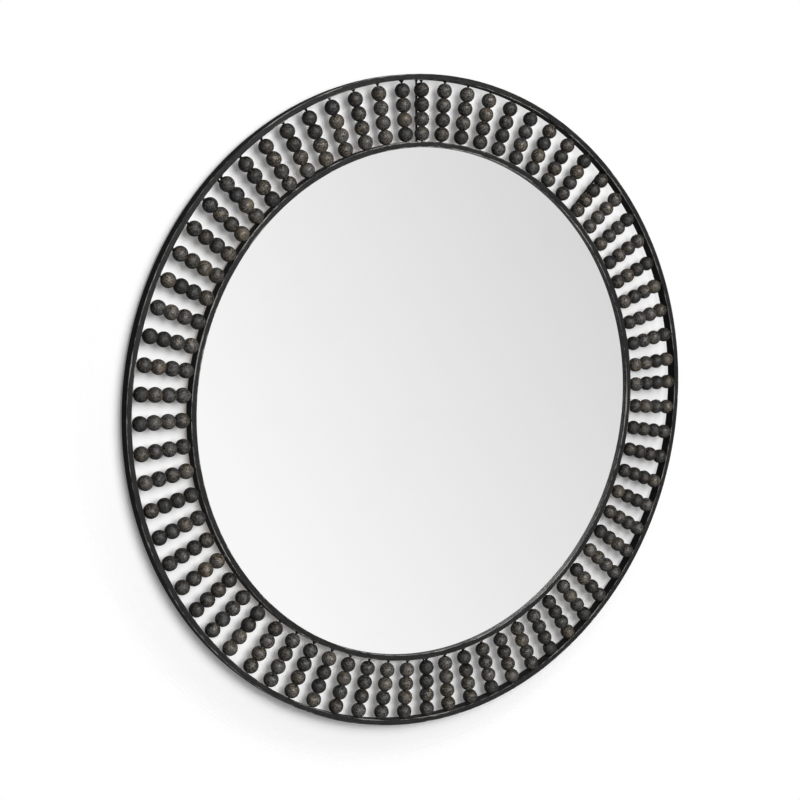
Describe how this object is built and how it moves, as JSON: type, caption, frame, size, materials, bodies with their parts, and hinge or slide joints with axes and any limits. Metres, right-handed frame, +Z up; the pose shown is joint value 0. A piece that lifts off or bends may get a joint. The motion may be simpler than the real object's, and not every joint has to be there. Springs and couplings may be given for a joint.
{
  "type": "round wall mirror",
  "caption": "Round wall mirror: glass in a black steel ring, ringed by radial rows of dark wooden beads that turn on wires inside a wider steel ring, with keyhole plates behind.",
  "frame": {"origin": "centre of the backing board's back face, on the wall plane", "axes": "+Y into the wall along the mirror's axis, +Z up, +X to the right seen from the front"},
  "size_m": [0.9144, 0.0231, 0.9143],
  "materials": {
    "black_ring": "satin",
    "black_wire": "matte",
    "stained_wood": "matte",
    "mirror": "polished",
    "foam": "matte",
    "board": "matte",
    "zinc": "satin"
  },
  "bodies": {
    "frame": {"outer_ring": "black_ring", "inner_ring": "black_ring", "strut_top": "black_wire", "strut_top_right": "black_wire", "strut_right": "black_wire", "strut_bottom_right": "black_wire", "strut_bottom": "black_wire", "strut_bottom_left": "black_wire", "strut_left": "black_wire", "strut_top_left": "black_wire", "bead_wires": "black_wire", "mirror_glass": "mirror", "foam_tape": "foam", "backing_board": "board", "retaining_tabs": "zinc", "tab_screws": "zinc", "keyhole_plate_left": "zinc", "keyhole_plate_right": "zinc", "plate_screws": "zinc"},
    "bead_rows_01": {"bead_rows_01": "stained_wood"},
    "bead_rows_02": {"bead_rows_02": "stained_wood"},
    "bead_rows_03": {"bead_rows_03": "stained_wood"},
    "bead_rows_04": {"bead_rows_04": "stained_wood"},
    "bead_rows_05": {"bead_rows_05": "stained_wood"},
    "bead_rows_06": {"bead_rows_06": "stained_wood"},
    "bead_rows_07": {"bead_rows_07": "stained_wood"},
    "bead_rows_08": {"bead_rows_08": "stained_wood"},
    "bead_rows_09": {"bead_rows_09": "stained_wood"},
    "bead_rows_10": {"bead_rows_10": "stained_wood"},
    "bead_rows_11": {"bead_rows_11": "stained_wood"},
    "bead_rows_12": {"bead_rows_12": "stained_wood"},
    "bead_rows_13": {"bead_rows_13": "stained_wood"},
    "bead_rows_14": {"bead_rows_14": "stained_wood"},
    "bead_rows_15": {"bead_rows_15": "stained_wood"},
    "bead_rows_16": {"bead_rows_16": "stained_wood"},
    "bead_rows_17": {"bead_rows_17": "stained_wood"},
    "bead_rows_18": {"bead_rows_18": "stained_wood"},
    "bead_rows_19": {"bead_rows_19": "stained_wood"},
    "bead_rows_20": {"bead_rows_20": "stained_wood"},
    "bead_rows_21": {"bead_rows_21": "stained_wood"},
    "bead_rows_22": {"bead_rows_22": "stained_wood"},
    "bead_rows_23": {"bead_rows_23": "stained_wood"},
    "bead_rows_24": {"bead_rows_24": "stained_wood"},
    "bead_rows_25": {"bead_rows_25": "stained_wood"},
    "bead_rows_26": {"bead_rows_26": "stained_wood"},
    "bead_rows_27": {"bead_rows_27": "stained_wood"},
    "bead_rows_28": {"bead_rows_28": "stained_wood"},
    "bead_rows_29": {"bead_rows_29": "stained_wood"},
    "bead_rows_30": {"bead_rows_30": "stained_wood"},
    "bead_rows_31": {"bead_rows_31": "stained_wood"},
    "bead_rows_32": {"bead_rows_32": "stained_wood"},
    "bead_rows_33": {"bead_rows_33": "stained_wood"},
    "bead_rows_34": {"bead_rows_34": "stained_wood"},
    "bead_rows_35": {"bead_rows_35": "stained_wood"},
    "bead_rows_36": {"bead_rows_36": "stained_wood"}
  },
  "joints": [
    {"name": "bead_rows_01_spin", "type": "hinge", "parent": "frame", "child": "bead_rows_01", "pos_m": [-0.0014, -0.0126, -0.00001], "axis": [-0.0064, 0, 1], "continuous": true},
    {"name": "bead_rows_02_spin", "type": "hinge", "parent": "frame", "child": "bead_rows_02", "pos_m": [-0.0014, -0.0126, 0.00011], "axis": [0.0808, 0, 0.9967], "continuous": true},
    {"name": "bead_rows_03_spin", "type": "hinge", "parent": "frame", "child": "bead_rows_03", "pos_m": [-0.00138, -0.0126, 0.00023], "axis": [0.1674, 0, 0.9859], "continuous": true},
    {"name": "bead_rows_04_spin", "type": "hinge", "parent": "frame", "child": "bead_rows_04", "pos_m": [-0.00135, -0.0126, 0.00035], "axis": [0.2526, 0, 0.9676], "continuous": true},
    {"name": "bead_rows_05_spin", "type": "hinge", "parent": "frame", "child": "bead_rows_05", "pos_m": [-0.00132, -0.0126, 0.00047], "axis": [0.336, 0, 0.9419], "continuous": true},
    {"name": "bead_rows_06_spin", "type": "hinge", "parent": "frame", "child": "bead_rows_06", "pos_m": [-0.00127, -0.0126, 0.00058], "axis": [0.4168, 0, 0.909], "continuous": true},
    {"name": "bead_rows_07_spin", "type": "hinge", "parent": "frame", "child": "bead_rows_07", "pos_m": [-0.00122, -0.0126, 0.00069], "axis": [0.4945, 0, 0.8692], "continuous": true},
    {"name": "bead_rows_08_spin", "type": "hinge", "parent": "frame", "child": "bead_rows_08", "pos_m": [-0.00115, -0.0126, 0.0008], "axis": [0.5683, 0, 0.8228], "continuous": true},
    {"name": "bead_rows_09_spin", "type": "hinge", "parent": "frame", "child": "bead_rows_09", "pos_m": [-0.00108, -0.0126, 0.00089], "axis": [0.6379, 0, 0.7701], "continuous": true},
    {"name": "bead_rows_10_spin", "type": "hinge", "parent": "frame", "child": "bead_rows_10", "pos_m": [-0.00085, -0.0126, 0.00085], "axis": [0.7092, 0, 0.705], "continuous": true},
    {"name": "bead_rows_11_spin", "type": "hinge", "parent": "frame", "child": "bead_rows_11", "pos_m": [-0.00077, -0.0126, 0.00092], "axis": [0.7679, 0, 0.6405], "continuous": true},
    {"name": "bead_rows_12_spin", "type": "hinge", "parent": "frame", "child": "bead_rows_12", "pos_m": [-0.00069, -0.0126, 0.00099], "axis": [0.8208, 0, 0.5712], "continuous": true},
    {"name": "bead_rows_13_spin", "type": "hinge", "parent": "frame", "child": "bead_rows_13", "pos_m": [-0.0006, -0.0126, 0.00104], "axis": [0.8675, 0, 0.4974], "continuous": true},
    {"name": "bead_rows_14_spin", "type": "hinge", "parent": "frame", "child": "bead_rows_14", "pos_m": [-0.0005, -0.0126, 0.00109], "axis": [0.9075, 0, 0.4199], "continuous": true},
    {"name": "bead_rows_15_spin", "type": "hinge", "parent": "frame", "child": "bead_rows_15", "pos_m": [-0.00041, -0.0126, 0.00113], "axis": [0.9407, 0, 0.3392], "continuous": true},
    {"name": "bead_rows_16_spin", "type": "hinge", "parent": "frame", "child": "bead_rows_16", "pos_m": [-0.00031, -0.0126, 0.00116], "axis": [0.9667, 0, 0.256], "continuous": true},
    {"name": "bead_rows_17_spin", "type": "hinge", "parent": "frame", "child": "bead_rows_17", "pos_m": [-0.0002, -0.0126, 0.00118], "axis": [0.9853, 0, 0.1707], "continuous": true},
    {"name": "bead_rows_18_spin", "type": "hinge", "parent": "frame", "child": "bead_rows_18", "pos_m": [-0.0001, -0.0126, 0.0012], "axis": [0.9964, 0, 0.0842], "continuous": true},
    {"name": "bead_rows_19_spin", "type": "hinge", "parent": "frame", "child": "bead_rows_19", "pos_m": [0, -0.0126, 0.0038], "axis": [1, 0, -0.0002], "continuous": true},
    {"name": "bead_rows_20_spin", "type": "hinge", "parent": "frame", "child": "bead_rows_20", "pos_m": [0.00033, -0.0126, 0.00379], "axis": [0.9962, 0, -0.0874], "continuous": true},
    {"name": "bead_rows_21_spin", "type": "hinge", "parent": "frame", "child": "bead_rows_21", "pos_m": [0.00066, -0.0126, 0.00374], "axis": [0.9848, 0, -0.1739], "continuous": true},
    {"name": "bead_rows_22_spin", "type": "hinge", "parent": "frame", "child": "bead_rows_22", "pos_m": [0.00098, -0.0126, 0.00367], "axis": [0.9659, 0, -0.2591], "continuous": true},
    {"name": "bead_rows_23_spin", "type": "hinge", "parent": "frame", "child": "bead_rows_23", "pos_m": [0.0013, -0.0126, 0.00357], "axis": [0.9396, 0, -0.3423], "continuous": true},
    {"name": "bead_rows_24_spin", "type": "hinge", "parent": "frame", "child": "bead_rows_24", "pos_m": [0.00161, -0.0126, 0.00344], "axis": [0.9062, 0, -0.4228], "continuous": true},
    {"name": "bead_rows_25_spin", "type": "hinge", "parent": "frame", "child": "bead_rows_25", "pos_m": [0.0019, -0.0126, 0.00329], "axis": [0.8659, 0, -0.5002], "continuous": true},
    {"name": "bead_rows_26_spin", "type": "hinge", "parent": "frame", "child": "bead_rows_26", "pos_m": [0.00218, -0.0126, 0.00311], "axis": [0.819, 0, -0.5738], "continuous": true},
    {"name": "bead_rows_27_spin", "type": "hinge", "parent": "frame", "child": "bead_rows_27", "pos_m": [0.00244, -0.0126, 0.00291], "axis": [0.7659, 0, -0.643], "continuous": true},
    {"name": "bead_rows_28_spin", "type": "hinge", "parent": "frame", "child": "bead_rows_28", "pos_m": [0.00089, -0.0126, 0.00088], "axis": [0.7049, 0, -0.7093], "continuous": true},
    {"name": "bead_rows_29_spin", "type": "hinge", "parent": "frame", "child": "bead_rows_29", "pos_m": [0.00096, -0.0126, 0.0008], "axis": [0.6404, 0, -0.768], "continuous": true},
    {"name": "bead_rows_30_spin", "type": "hinge", "parent": "frame", "child": "bead_rows_30", "pos_m": [0.00103, -0.0126, 0.00071], "axis": [0.5711, 0, -0.8209], "continuous": true},
    {"name": "bead_rows_31_spin", "type": "hinge", "parent": "frame", "child": "bead_rows_31", "pos_m": [0.00108, -0.0126, 0.00062], "axis": [0.4973, 0, -0.8676], "continuous": true},
    {"name": "bead_rows_32_spin", "type": "hinge", "parent": "frame", "child": "bead_rows_32", "pos_m": [0.00113, -0.0126, 0.00052], "axis": [0.4198, 0, -0.9076], "continuous": true},
    {"name": "bead_rows_33_spin", "type": "hinge", "parent": "frame", "child": "bead_rows_33", "pos_m": [0.00118, -0.0126, 0.00042], "axis": [0.3391, 0, -0.9407], "continuous": true},
    {"name": "bead_rows_34_spin", "type": "hinge", "parent": "frame", "child": "bead_rows_34", "pos_m": [0.00121, -0.0126, 0.00032], "axis": [0.2559, 0, -0.9667], "continuous": true},
    {"name": "bead_rows_35_spin", "type": "hinge", "parent": "frame", "child": "bead_rows_35", "pos_m": [0.00123, -0.0126, 0.00021], "axis": [0.1706, 0, -0.9853], "continuous": true},
    {"name": "bead_rows_36_spin", "type": "hinge", "parent": "frame", "child": "bead_rows_36", "pos_m": [0.00125, -0.0126, 0.00011], "axis": [0.0841, 0, -0.9965], "continuous": true}
  ]
}
